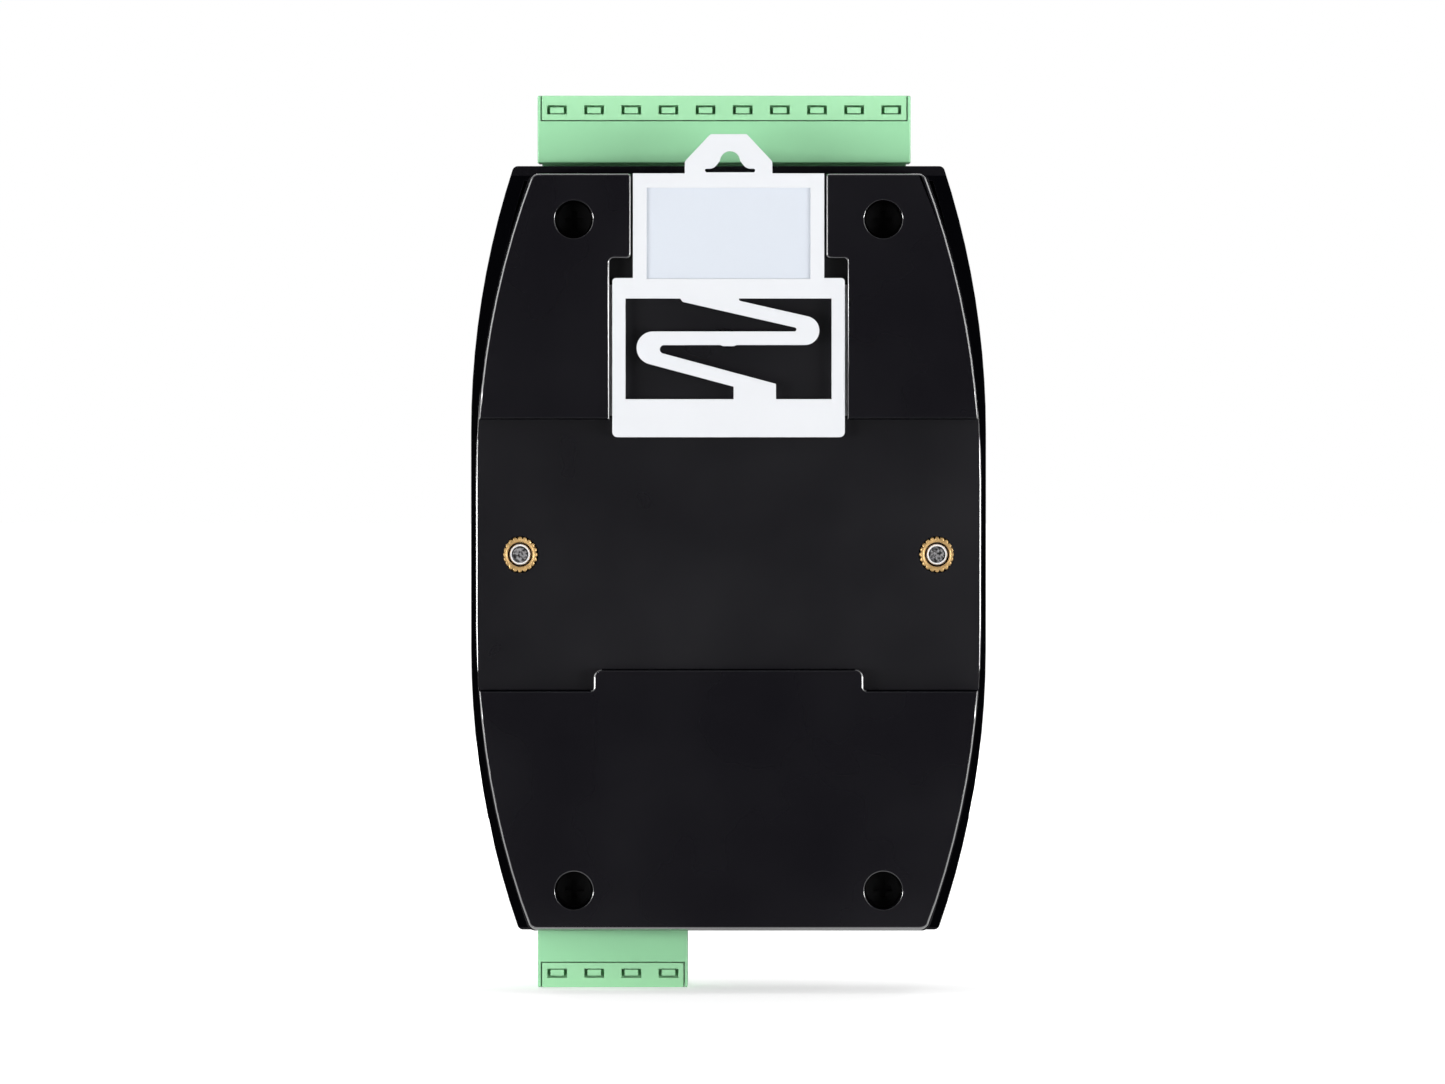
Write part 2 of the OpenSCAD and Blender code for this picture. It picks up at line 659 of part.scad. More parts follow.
module latch() color([0.92, 0.93, 0.95]) difference() {
    union() {
        block([-latch_plate_hw, latch_back, latch_shoulder - 1], [latch_plate_hw, latch_in, latch_top]);
        block([-latch_frame_hw, latch_back, rail_h / 2 + 0.5], [latch_frame_hw, latch_in, latch_shoulder]);
        block([-latch_frame_hw, latch_back, latch_bottom], [latch_frame_hw, -lip_slot, rail_h / 2 + 1]);
        block([-latch_wing_hw, latch_in - latch_wing_t, channel_hw + 0.5],
              [latch_wing_hw, latch_in, latch_shoulder - 0.9]);
        slab(latch_back, latch_back + tab_t) tab_outline();
    }
    block([-window_hw, latch_back - cut, window_lo], [window_hw, latch_in + cut, window_hi]);
    block([-panel_hw, latch_back - cut, latch_shoulder - 0.1],
          [panel_hw, latch_back + panel_depth, latch_top - 1.96]);
    slab(latch_back - cut, latch_back + tab_t + cut) tab_hole();
}

module tab_outline() {
    shoulder = latch_top + 1.6;
    tip = latch_top + tab_h;
    polygon([[-tab_hw, latch_top - 1], [tab_hw, latch_top - 1], [tab_hw, shoulder],
             [tab_tip_hw, tip], [-tab_tip_hw, tip], [-tab_hw, shoulder]]);
}

// The pull slot: a level slot with an arch above its middle.
module tab_hole() {
    slot_z = latch_top + 0.14;
    arch_z = latch_top + 1.7;
    arch_r = 1.35;
    translate([-3.4, slot_z]) square([6.8, 0.5]);
    polygon([[-2.3, slot_z + 0.4], [2.3, slot_z + 0.4], [arch_r, arch_z], [-arch_r, arch_z]]);
    translate([0, arch_z - 0.05]) circle(arch_r);
}

foot_x = 3.56;
foot_hw = 2.88;

// The spring's middle line, from the upper root round both bends to the foot.
function bend(x, z, from, to) = [for (i = [0:8]) let (a = from + (to - from) * i / 8)
    [x + bend_r * cos(a), z + bend_r * sin(a)]];

spring_line = concat(
    [[bend_x + bend_r * sin(upper_slope) - (window_hi - spring_z - bend_r - bend_r * cos(upper_slope))
        / tan(upper_slope), window_hi]],
    bend(bend_x, spring_z + bend_r, 90 - upper_slope, -90),
    bend(-bend_x, spring_z - bend_r, 90, 270 - lower_slope),
    [[foot_x, spring_z - bend_r - bend_r * cos(lower_slope)
        - (foot_x + bend_x + bend_r * sin(lower_slope)) * tan(lower_slope)]]);
function unit(v) = v / norm(v);
function across(line, i) = let (
    before = unit(line[max(i, 1)] - line[max(i, 1) - 1]),
    after = unit(line[min(i, len(line) - 2) + 1] - line[min(i, len(line) - 2)]),
    mean = unit(before + after))
    [-mean.y, mean.x] / (mean * after);

module arm_outline() {
    n = len(spring_line) - 1;
    left = [for (i = [0:n]) spring_line[i] + across(spring_line, i) * spring_w / 2];
    right = [for (i = [n:-1:0]) spring_line[i] - across(spring_line, i) * spring_w / 2];
    polygon(concat(left, right));
}

module latch_spring() color([0.94, 0.95, 0.97]) {
    foot_top = spring_line[len(spring_line) - 1].y;
    difference() {
        slab(latch_back, latch_in - 0.2) {
            intersection() {
                union() {
                    arm_outline();
                    // Root gusset under the frame's top bar
                    polygon([[-6.67, window_hi + cut], [1.47, window_hi + cut], [1.47, window_hi - 0.1],
                             [-2.6, window_hi - 1], [-6.67, window_hi - 0.1]]);
                    polygon([[foot_x - foot_hw, window_lo - cut], [foot_x + foot_hw, window_lo - cut],
                             [foot_x + foot_hw, foot_top + 0.2], [foot_x - foot_hw, foot_top + 0.2]]);
                    translate([0, spring_z]) circle(peg_r + 0.25);
                }
                translate([-window_hw, window_lo]) square([2 * window_hw, window_hi - window_lo]);
                spring_top_trim();
            }
        }
        bar_y(0, spring_z, -peg_h - fit, 0, peg_r + fit);
    }
}

// Keeps the boss round the peg from standing above the middle arm.
module spring_top_trim() difference() {
    translate([-window_hw, window_lo]) square([2 * window_hw, window_hi - window_lo]);
    translate([-2, spring_z + spring_w / 2]) square([4, 1]);
}

rear_case();
front_cover();
front_overlay();
light_pipes();
thread_inserts();
cover_screws();
board_screws();
board_spacers();
circuit_board();
header_10();
header_4();
header_pins();
driver_chip();
thermal_pad();
heat_sink();
sense_resistors();
bulk_capacitors();
power_inductor();
microcontroller();
crystal();
bus_transceiver();
optocouplers();
small_capacitors();
indicator_leds();
latch();
latch_spring();
plug_10_shell();
plug_10_cap();
plug_10_contacts();
plug_4_shell();
plug_4_cap();
plug_4_contacts();
for (i = top_poles) {
    plug_10_screw(i);
    plug_10_cage(i);
}
for (i = bottom_poles) {
    plug_4_screw(i);
    plug_4_cage(i);
}
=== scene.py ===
import math

import bmesh
import bpy
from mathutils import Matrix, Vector


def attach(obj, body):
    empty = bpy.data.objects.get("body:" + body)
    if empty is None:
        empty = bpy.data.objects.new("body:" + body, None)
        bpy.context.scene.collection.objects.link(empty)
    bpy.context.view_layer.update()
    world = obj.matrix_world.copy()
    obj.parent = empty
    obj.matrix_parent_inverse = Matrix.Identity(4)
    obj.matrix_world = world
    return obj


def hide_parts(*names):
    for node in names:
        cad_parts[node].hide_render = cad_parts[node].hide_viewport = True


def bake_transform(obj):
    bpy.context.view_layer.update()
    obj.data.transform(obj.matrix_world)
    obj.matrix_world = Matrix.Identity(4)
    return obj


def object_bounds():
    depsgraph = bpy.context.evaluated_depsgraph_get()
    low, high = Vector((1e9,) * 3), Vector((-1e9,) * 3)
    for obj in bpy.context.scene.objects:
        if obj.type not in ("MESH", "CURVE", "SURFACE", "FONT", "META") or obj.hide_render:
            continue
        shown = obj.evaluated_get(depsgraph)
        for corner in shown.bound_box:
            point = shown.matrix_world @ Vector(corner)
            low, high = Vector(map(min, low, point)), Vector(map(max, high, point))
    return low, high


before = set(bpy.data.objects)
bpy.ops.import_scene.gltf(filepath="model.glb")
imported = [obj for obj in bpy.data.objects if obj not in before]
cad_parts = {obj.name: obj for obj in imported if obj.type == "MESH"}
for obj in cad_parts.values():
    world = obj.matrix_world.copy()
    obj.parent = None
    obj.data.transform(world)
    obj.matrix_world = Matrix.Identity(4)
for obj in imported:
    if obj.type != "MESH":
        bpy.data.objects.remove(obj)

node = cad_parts
cad_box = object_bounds()
scene = bpy.context.scene
scene.view_settings.view_transform = "Standard"
MM = 0.001

# ---- Camera -----------------------------------------------------------------------------
# A long lens square to the module's rear, a little above its middle.

camera = bpy.data.objects.new("camera", bpy.data.cameras.new("camera"))
scene.collection.objects.link(camera)
scene.camera = camera
camera.data.lens = 300
camera.data.sensor_width = 36
camera_tilt = math.radians(1.0)
camera_aim = Vector((-0.82, 8, 1.57)) * MM
camera.location = camera_aim + 1641.5 * MM * Vector((0, -math.cos(camera_tilt), math.sin(camera_tilt)))
camera.rotation_euler = (math.pi / 2 - camera_tilt, 0, 0)

# ---- Studio -----------------------------------------------------------------------------
# A pale floor under the lower plug, soft boxes at both sides, one above and one in front, and
# a white surround that is dim only where the rear or front face would mirror it.


def soft_box(name, place, width, height, radiance):
    light = bpy.data.lights.new(name, "AREA")
    light.shape = "RECTANGLE"
    light.size, light.size_y = width, height
    light.energy = math.pi * width * height * radiance
    lamp = bpy.data.objects.new(name, light)
    lamp.location = place
    lamp.rotation_euler = (-Vector(place)).to_track_quat("-Z", "Y").to_euler()
    lamp.visible_camera = False
    scene.collection.objects.link(lamp)


soft_box("box_left", (-0.70, -0.30, 0.05), 1.15, 0.80, 1.6)
soft_box("box_right", (0.70, -0.30, 0.05), 1.15, 0.80, 1.65)
soft_box("low_left", (-0.48, -0.50, -0.018), 0.55, 0.08, 15.5)
soft_box("low_right", (0.48, -0.50, -0.018), 0.55, 0.08, 15.5)
soft_box("box_top", (0, -0.10, 0.90), 0.90, 0.70, 0.5)
soft_box("box_front", (0, 0.85, 0.35), 0.90, 0.80, 2.4)

world = bpy.data.worlds.new("surround")
scene.world = world
world.use_nodes = True
tree = world.node_tree
tree.nodes.clear()
sky = tree.nodes.new("ShaderNodeTexCoord")
axes = tree.nodes.new("ShaderNodeSeparateXYZ")
tree.links.new(sky.outputs["Generated"], axes.inputs[0])
face_on = tree.nodes.new("ShaderNodeMath")
face_on.operation = "ABSOLUTE"
tree.links.new(axes.outputs["Y"], face_on.inputs[0])
dim = tree.nodes.new("ShaderNodeMapRange")
dim.inputs["From Min"].default_value = 0.75
dim.inputs["From Max"].default_value = 0.0
dim.inputs["To Min"].default_value = 0.06
dim.inputs["To Max"].default_value = 0.90
tree.links.new(face_on.outputs[0], dim.inputs["Value"])
seen = tree.nodes.new("ShaderNodeBackground")
seen.inputs["Color"].default_value = (1, 1, 1, 1)
mirrored = tree.nodes.new("ShaderNodeBackground")
mirrored.inputs["Color"].default_value = (1, 1, 1, 1)
tree.links.new(dim.outputs[0], mirrored.inputs["Strength"])
ambient = tree.nodes.new("ShaderNodeBackground")
ambient.inputs["Color"].default_value = (1, 1, 1, 1)
ambient.inputs["Strength"].default_value = 0.26
ray = tree.nodes.new("ShaderNodeLightPath")
direct = tree.nodes.new("ShaderNodeMath")
direct.operation = "MAXIMUM"
tree.links.new(ray.outputs["Is Camera Ray"], direct.inputs[0])
tree.links.new(ray.outputs["Is Transmission Ray"], direct.inputs[1])
glossy = tree.nodes.new("ShaderNodeMixShader")
tree.links.new(ray.outputs["Is Glossy Ray"], glossy.inputs[0])
tree.links.new(ambient.outputs[0], glossy.inputs[1])
tree.links.new(mirrored.outputs[0], glossy.inputs[2])
all_rays = tree.nodes.new("ShaderNodeMixShader")
tree.links.new(direct.outputs[0], all_rays.inputs[0])
tree.links.new(glossy.outputs[0], all_rays.inputs[1])
tree.links.new(seen.outputs[0], all_rays.inputs[2])
out = tree.nodes.new("ShaderNodeOutputWorld")
tree.links.new(all_rays.outputs[0], out.inputs[0])

floor_bm = bmesh.new()
bmesh.ops.create_circle(floor_bm, cap_ends=True, segments=64, radius=4.0)
bmesh.ops.translate(floor_bm, verts=floor_bm.verts, vec=(0, 0, cad_box[0].z - 0.05 * MM))
floor_mesh = bpy.data.meshes.new("floor")
floor_bm.to_mesh(floor_mesh)
floor_bm.free()
floor = bpy.data.objects.new("floor", floor_mesh)
scene.collection.objects.link(floor)
floor_look = bpy.data.materials.new("floor")
floor_look.use_nodes = True
tree = floor_look.node_tree
tree.nodes.clear()
matt = tree.nodes.new("ShaderNodeBsdfDiffuse")
matt.inputs["Color"].default_value = (0.92, 0.92, 0.92, 1)
floor_glow_in_reflections = tree.nodes.new("ShaderNodeEmission")
glow = tree.nodes.new("ShaderNodeEmission")
ground = tree.nodes.new("ShaderNodeTexCoord")
reach = tree.nodes.new("ShaderNodeVectorMath")
reach.operation = "LENGTH"
tree.links.new(ground.outputs["Object"], reach.inputs[0])
across = tree.nodes.new("ShaderNodeSeparateXYZ")
tree.links.new(ground.outputs["Object"], across.inputs[0])
aside = tree.nodes.new("ShaderNodeMath")
aside.operation = "ABSOLUTE"
tree.links.new(across.outputs["X"], aside.inputs[0])
ahead = tree.nodes.new("ShaderNodeMath")
ahead.operation = "ABSOLUTE"
tree.links.new(across.outputs["Y"], ahead.inputs[0])
to_side = tree.nodes.new("ShaderNodeMath")
to_side.operation = "SUBTRACT"
tree.links.new(aside.outputs[0], to_side.inputs[0])
tree.links.new(ahead.outputs[0], to_side.inputs[1])
# For reflected rays the floor glows, dim in front of and behind the module and brighter than white at its
# sides: painted light seen only in reflections.
mirrored_floor = tree.nodes.new("ShaderNodeMapRange")
mirrored_floor.inputs["From Min"].default_value = -0.10
mirrored_floor.inputs["From Max"].default_value = 0.10
mirrored_floor.inputs["To Min"].default_value = 0.08
mirrored_floor.inputs["To Max"].default_value = 1.5
tree.links.new(to_side.outputs[0], mirrored_floor.inputs["Value"])
tree.links.new(mirrored_floor.outputs[0], floor_glow_in_reflections.inputs["Strength"])
far = tree.nodes.new("ShaderNodeMapRange")
far.inputs["From Min"].default_value = 0.35
far.inputs["From Max"].default_value = 0.80
far.inputs["To Min"].default_value = 0.50
far.inputs["To Max"].default_value = 1.0
tree.links.new(reach.outputs["Value"], far.inputs["Value"])
tree.links.new(far.outputs[0], glow.inputs["Strength"])
both = tree.nodes.new("ShaderNodeAddShader")
tree.links.new(matt.outputs[0], both.inputs[0])
tree.links.new(glow.outputs[0], both.inputs[1])
ray = tree.nodes.new("ShaderNodeLightPath")
sees = tree.nodes.new("ShaderNodeMath")
sees.operation = "MAXIMUM"
tree.links.new(ray.outputs["Is Camera Ray"], sees.inputs[0])
tree.links.new(ray.outputs["Is Transmission Ray"], sees.inputs[1])
mix = tree.nodes.new("ShaderNodeMixShader")
tree.links.new(sees.outputs[0], mix.inputs[0])
lit = tree.nodes.new("ShaderNodeMixShader")
tree.links.new(ray.outputs["Is Glossy Ray"], lit.inputs[0])
tree.links.new(matt.outputs[0], lit.inputs[1])
tree.links.new(floor_glow_in_reflections.outputs[0], lit.inputs[2])
tree.links.new(lit.outputs[0], mix.inputs[1])
tree.links.new(both.outputs[0], mix.inputs[2])
out = tree.nodes.new("ShaderNodeOutputMaterial")
tree.links.new(mix.outputs[0], out.inputs["Surface"])
floor_mesh.materials.append(floor_look)

# ---- Rear shell -------------------------------------------------------------------------
# The black ABS half that hangs on the rail: two rear pads with the rail channel between them,
# the latch's guideway and the fixed lip. Injection moulded with satin faces. The rounded edges
# carry a painted highlight in a lighter, coated black; the channel's walls, the steps beside the
# pads and the faces underneath carry painted shade in a dull black.


def from_node(name):
    """A merged copy of a CAD node, its flat faces whole again."""
    bm = bmesh.new()
    bm.from_mesh(node[name].data)
    bmesh.ops.remove_doubles(bm, verts=bm.verts, dist=0.001 * MM)
    bmesh.ops.dissolve_limit(bm, angle_limit=math.radians(0.5), verts=bm.verts, edges=bm.edges)
    return bm


def along_y(edge):
    run = edge.verts[1].co - edge.verts[0].co
    return abs(run.y) > 0.3 * MM and abs(run.x) + abs(run.z) < 0.01 * MM


def turn(edge):
    """How far the faces at an edge turn, in degrees; 0 on an open edge."""
    return math.degrees(edge.calc_face_angle(0))


def near(point, x, z, reach):
    return abs(abs(point.x) - x * MM) < reach * MM and abs(point.z - z * MM) < reach * MM


def round_over(bm, edges, radius, steps, look=-1, clamp=True):
    edges = list(edges)
    if edges:
        made = bmesh.ops.bevel(bm, geom=edges, offset=radius * MM, segments=steps, affect="EDGES",
                               profile=0.5, material=-1, clamp_overlap=clamp, loop_slide=True)
        if look >= 0:
            for face in made["faces"]:
                face.material_index = look


def into_piece(bm, name, body, looks, stands_for=(), sharp=35, weighted=True):
    """Ends a bmesh as a piece that rides on a body in the finishes given."""
    mesh = bpy.data.meshes.new(name)
    bm.normal_update()
    bm.to_mesh(mesh)
    bm.free()
    for attribute in ("custom_normal", "sharp_face", "sharp_edge"):
        if attribute in mesh.attributes:
            mesh.attributes.remove(mesh.attributes[attribute])
    mesh.polygons.foreach_set("use_smooth", [True] * len(mesh.polygons))
    mesh.set_sharp_from_angle(angle=math.radians(sharp))
    for look in looks:
        mesh.materials.append(look)
    piece = bpy.data.objects.new(name, mesh)
    scene.collection.objects.link(piece)
    if weighted:
        even = piece.modifiers.new("even_normals", "WEIGHTED_NORMAL")
        even.keep_sharp = True
    if body:
        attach(piece, body)
    if stands_for:
        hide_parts(*stands_for)
    return piece


def prism(points, from_y, to_y):
    """A closed solid with an outline of (x, z) points, drawn out along Y; all in millimetres."""
    bm = bmesh.new()
    outline = bm.faces.new([bm.verts.new((x * MM, from_y * MM, z * MM)) for x, z in points])
    drawn = bmesh.ops.extrude_face_region(bm, geom=[outline])
    moved = [v for v in drawn["geom"] if isinstance(v, bmesh.types.BMVert)]
    bmesh.ops.translate(bm, verts=moved, vec=(0, (to_y - from_y) * MM, 0))
    bmesh.ops.recalc_face_normals(bm, faces=bm.faces)
    return bm


def absorb(bm, solid):
    """Adds the faces of a solid to a bmesh and frees the solid."""
    mesh = bpy.data.meshes.new("solid")
    solid.to_mesh(mesh)
    solid.free()
    bm.from_mesh(mesh)
    bpy.data.meshes.remove(mesh)


def arc(x, z, radius, start, end, steps=12):
    """Points on an arc; angles in degrees, turned from +X towards +Z."""
    angles = [math.radians(start + (end - start) * i / steps) for i in range(steps + 1)]
    return [(x + radius * math.cos(a), z + radius * math.sin(a)) for a in angles]


def combine(bm, other, operation):
    """An exact union or difference of two closed solids, its flat faces whole again."""
    parts = []
    for solid in (bm, other):
        mesh = bpy.data.meshes.new("part")
        solid.to_mesh(mesh)
        solid.free()
        parts.append(bpy.data.objects.new("part", mesh))
        scene.collection.objects.link(parts[-1])
    join = parts[0].modifiers.new("join", "BOOLEAN")
    join.operation = operation
    join.solver = "EXACT"
    join.object = parts[1]
    joined = bmesh.new()
    joined.from_object(parts[0], bpy.context.evaluated_depsgraph_get())
    for part in parts:
        bpy.data.meshes.remove(part.data)
    bmesh.ops.remove_doubles(joined, verts=joined.verts, dist=0.001 * MM)
    bmesh.ops.dissolve_limit(joined, angle_limit=math.radians(0.5), verts=joined.verts, edges=joined.edges)
    return joined


def finish(name, color, roughness, grain=0.0, grain_size=0.2, drift=0.0, drift_size=20, metallic=0.0,
           patchy=0.0, steep=0.0, **settings):
    """A moulded, plated or turned finish. Grain is a fine bump and drift a slow change of shade;
    both sizes are in millimetres. The rest goes straight to the shader's sockets."""
    look = bpy.data.materials.new(name)
    look.use_nodes = True
    tree = look.node_tree
    shader = tree.nodes["Principled BSDF"]
    shader.inputs["Base Color"].default_value = (*color, 1)
    shader.inputs["Metallic"].default_value = metallic
    shader.inputs["Roughness"].default_value = roughness
    for socket, value in settings.items():
        shader.inputs[socket.replace("_", " ")].default_value = value
    place = tree.nodes.new("ShaderNodeTexCoord")
    if drift or patchy:
        slow = tree.nodes.new("ShaderNodeTexNoise")
        slow.inputs["Scale"].default_value = 1 / (drift_size * MM)
        slow.inputs["Detail"].default_value = 3
        tree.links.new(place.outputs["Object"], slow.inputs["Vector"])
    if drift:
        shade = tree.nodes.new("ShaderNodeMix")
        shade.data_type = "RGBA"
        shade.inputs[6].default_value = (*[c * (1 - drift) for c in color], 1)
        shade.inputs[7].default_value = (*[min(1, c * (1 + drift)) for c in color], 1)
        tree.links.new(slow.outputs["Fac"], shade.inputs[0])
        if steep:   # blotches with firm edges
            firm = tree.nodes.new("ShaderNodeMapRange")
            firm.inputs["From Min"].default_value = 0.5 - steep
            firm.inputs["From Max"].default_value = 0.5 + steep
            tree.links.new(slow.outputs["Fac"], firm.inputs["Value"])
            tree.links.new(firm.outputs[0], shade.inputs[0])
        tree.links.new(shade.outputs[2], shader.inputs["Base Color"])
    if patchy:
        spread = tree.nodes.new("ShaderNodeMapRange")
        spread.inputs["From Min"].default_value = 0.3
        spread.inputs["From Max"].default_value = 0.7
        spread.inputs["To Min"].default_value = roughness * (1 - patchy)
        spread.inputs["To Max"].default_value = min(1, roughness * (1 + patchy))
        tree.links.new(slow.outputs["Fac"], spread.inputs["Value"])
        tree.links.new(spread.outputs[0], shader.inputs["Roughness"])
    if grain:
        fine = tree.nodes.new("ShaderNodeTexNoise")
        fine.inputs["Scale"].default_value = 1 / (grain_size * MM)
        fine.inputs["Detail"].default_value = 2
        tree.links.new(place.outputs["Object"], fine.inputs["Vector"])
        bump = tree.nodes.new("ShaderNodeBump")
        bump.inputs["Strength"].default_value = grain
        bump.inputs["Distance"].default_value = 0.02 * MM
        tree.links.new(fine.outputs["Fac"], bump.inputs["Height"])
        tree.links.new(bump.outputs[0], shader.inputs["Normal"])
    return look


black_abs = finish("black_abs", (0.0022, 0.0018, 0.0038), 0.28, grain=0.25, grain_size=0.25, drift=0.15,
                   patchy=0.12, Specular_IOR_Level=0.34)
# The rims' lighter black is a painted highlight; their strong coat adds real reflections.
black_edge_painted_highlight = finish("black_edge_painted_highlight", (0.012, 0.012, 0.015), 0.16, drift=0.1, Specular_IOR_Level=1.0,
                    Coat_Weight=1.0, Coat_IOR=2.3, Coat_Roughness=0.12)
# A dull near-black without reflections, laid where shade falls: painted shade.
black_painted_shade = finish("black_painted_shade", (0.0018, 0.0018, 0.0026), 0.6, drift=0.1, Specular_IOR_Level=0.0)
black_seat = finish("black_seat", (0.0030, 0.0026, 0.0046), 0.30, grain=0.25, grain_size=0.25, drift=0.15,
                    patchy=0.12, Specular_IOR_Level=0.50)

shell = from_node("rear_case")
pad_y, seat_y = -3.5 * MM, 0.0
screw_x = 28.3                            # the cover screws and their inserts, at both sides
edge_look, shade_look, seat_look = 1, 2, 3   # places in the shell's list of finishes


def corner_trim(x, z, turned, radius, from_y, to_y):
    """What comes off one outer corner, whose faces turn by an angle, to round it."""
    side, end = math.copysign(1, x), math.copysign(1, z)
    inner_x = abs(x) - radius * math.tan(math.radians(turned / 2))
    curve = arc(inner_x, abs(z) - radius, radius, 90, 90 - turned, 8)
    last = math.radians(90 - turned)
    far = [(curve[-1][0] + math.cos(last), curve[-1][1] + math.sin(last)), (abs(x) + 1.2, abs(z) + 1.2),
           (inner_x, abs(z) + 1)]
    return prism([(side * px, end * pz) for px, pz in curve + far], from_y, to_y)


def trim_corners(bm, corners, from_y, to_y):
    """Rounds outer corners given as (half width, height, turn in degrees, radius) at both sides."""
    trims = bmesh.new()
    for x, z, turned, radius in corners:
        for side in (-1, 1):
            absorb(trims, corner_trim(side * x, z, turned, radius, from_y, to_y))
    return combine(bm, trims, "DIFFERENCE")


shell = trim_corners(shell, ((26.88, 51.6, 70, 1.25), (27.08, -51.05, 71, 1.25)), 0, 8.1)
shell = trim_corners(shell, ((26.5, 51.6, 70, 1.25), (26.71, -51.05, 71, 1.25)), -3.6, 0)

for vert in shell.verts:   # the guideway closes on the latch, and the walls have a little draft
    side, out_x = math.copysign(1, vert.co.x), abs(vert.co.x) / MM
    up, back = vert.co.z / MM, vert.co.y / MM
    if abs(out_x - 16.36) < 0.02 and 18 < up < 40.3:
        vert.co.x = side * 16.12 * MM
    elif abs(out_x - 13.43) < 0.02 and 40 < up < 51.7:
        vert.co.x = side * 13.22 * MM
    elif abs(back) < 0.01 and out_x > 30:
        vert.co.x -= side * 0.23 * max(0, min(1, (28.35 - abs(up)) / 10)) * MM
    if abs(back + 3.5) < 0.01 and up < -49.8:
        vert.co.z += 0.42 * min(1, (-49.8 - up) / 1.25) * MM

corner_radii = (   # half width, height, radius of each upright corner
    (13.22, 51.6, 0.5), (13.22, 40.2, 0.6), (16.12, 40.2, 0.6), (18.27, -15.5, 1.1), (18.27, -18.35, 0.4),
    (33.8, 18.35, 0.5), (33.8, -18.35, 0.5))
for x, z, radius in corner_radii:
    round_over(shell, [e for e in shell.edges if along_y(e) and turn(e) > 60
                       and near(e.verts[0].co, x, z, 0.3)], radius, 5)


def flat_at(edge, y):
    return all(abs(v.co.y - y) < 0.002 * MM for v in edge.verts)


def rim_at(bm, y, least_turn=60):
    """The convex edges level at y whose faces turn by more than an angle in degrees."""
    return [e for e in bm.edges if flat_at(e, y) and e.is_convex and turn(e) > least_turn]


def at_bore(edge):
    return any(near(edge.verts[0].co, 20.95, z, 2.7) for z in (45.45, -45.45))


# The rims of the pads and bores take the lighter black: painted highlight lines.
bore_rim = [e for e in rim_at(shell, pad_y, 30) if at_bore(e)]
round_over(shell, bore_rim, 0.10, 2, look=edge_look)
pad_rim = [e for e in rim_at(shell, pad_y, 30) if not at_bore(e)]
round_over(shell, pad_rim, 0.24, 5, look=edge_look, clamp=False)
seat_rim = [e for e in rim_at(shell, seat_y)
            if abs(e.verts[0].co.x) > 27.6 * MM and max(abs(v.co.z) for v in e.verts) < 50.2 * MM
            and not near(e.verts[0].co, screw_x, 0, 3.0)]
bare = [e for e in seat_rim if max(abs(v.co.z) for v in e.verts) < 18.36 * MM]
# The seat rims beside the pads take the dull black: painted shade.
round_over(shell, [e for e in seat_rim if e not in bare], 0.10, 2, look=shade_look, clamp=False)
round_over(shell, [e for e in bare if e.is_valid], 0.15, 4, look=edge_look, clamp=False)
shell.normal_update()
for face in shell.faces:   # the walls and edges along the channel and over the lip take the dull black as painted shade
    middle = face.calc_center_median()
    level = abs(face.normal.z) > 0.15 and abs(face.normal.x) < 0.1 and -3.49 * MM < middle.y < 0
    if level and (abs(abs(middle.z) - 18.6 * MM) < 0.4 * MM or abs(middle.z + 15.7 * MM) < 0.3 * MM):
        face.material_index = shade_look
    # Large faces underneath the bottom take the dull black too: painted shade.
    below = face.normal.z < -0.9 and middle.z < -50.5 * MM and middle.y < -0.3 * MM
    if below and face.calc_area() > 2e-5:
        face.material_index = shade_look
    if face.normal.y < -0.99 and abs(middle.y) < 0.02 * MM:   # satin seat; the steps beside the pads take the dull black as painted shade
        beside_pad = abs(middle.x) > 26 * MM and abs(middle.z) > 18.4 * MM
        face.material_index = shade_look if beside_pad else seat_look
into_piece(shell, "rear_shell", "case", [black_abs, black_edge_painted_highlight, black_painted_shade, black_seat],
           ["rear_case"])

# ---- Front cover ------------------------------------------------------------------------
# The deeper black ABS half, which closes over the board and is bulged at both flanks, with a
# ribbed grip let into each. Moulded with a satin face.

cover = from_node("front_cover")
seam_y = 8 * MM
cover = trim_corners(cover, ((29.28, 52.8, 73, 0.8), (28.6, -51.3, 72, 0.8)), 7.9, 31.6)
cover_rim = [e for e in rim_at(cover, seam_y)
             if (abs(e.verts[0].co.x) > 33.5 * MM or abs(e.verts[0].co.z) > 50.4 * MM
                  or math.hypot(e.verts[0].co.x, e.verts[0].co.z) > 50 * MM)]
round_over(cover, cover_rim, 0.15, 2)
front_rim = [e for e in cover.edges if all(v.co.y > 29.8 * MM for v in e.verts) and 20 < turn(e) < 60
             and e.is_convex]
round_over(cover, front_rim, 0.3, 3)
for height in (51.5, -51.0):   # the seam's face is cut over the plugs; down the flanks it takes the dull black as painted shade
    seam = [f for f in cover.faces
            if f.normal.y < -0.99 and abs(f.calc_center_median().y - seam_y) < 0.01 * MM]
    around = {e for f in seam for e in f.edges}
    bmesh.ops.bisect_plane(cover, geom=seam + list(around) + list({v for f in seam for v in f.verts}),
                           dist=0.0001 * MM, plane_co=(0, 0, height * MM), plane_no=(0, 0, 1))
cover.normal_update()
# Down the flanks the rear-facing seam face takes the dull black: painted shade.
for face in cover.faces:
    middle = face.calc_center_median()
    if face.normal.y < -0.99 and abs(middle.y - seam_y) < 0.01 * MM and abs(middle.z) < 51 * MM:
        face.material_index = 1
into_piece(cover, "front_shell", "case", [black_abs, black_painted_shade], ["front_cover"])

# ---- Front label and light pipes --------------------------------------------------------
# A bare grey polycarbonate film sunk in the front, and four clear acrylic pipes that carry the
# light of the board's lamps to it.

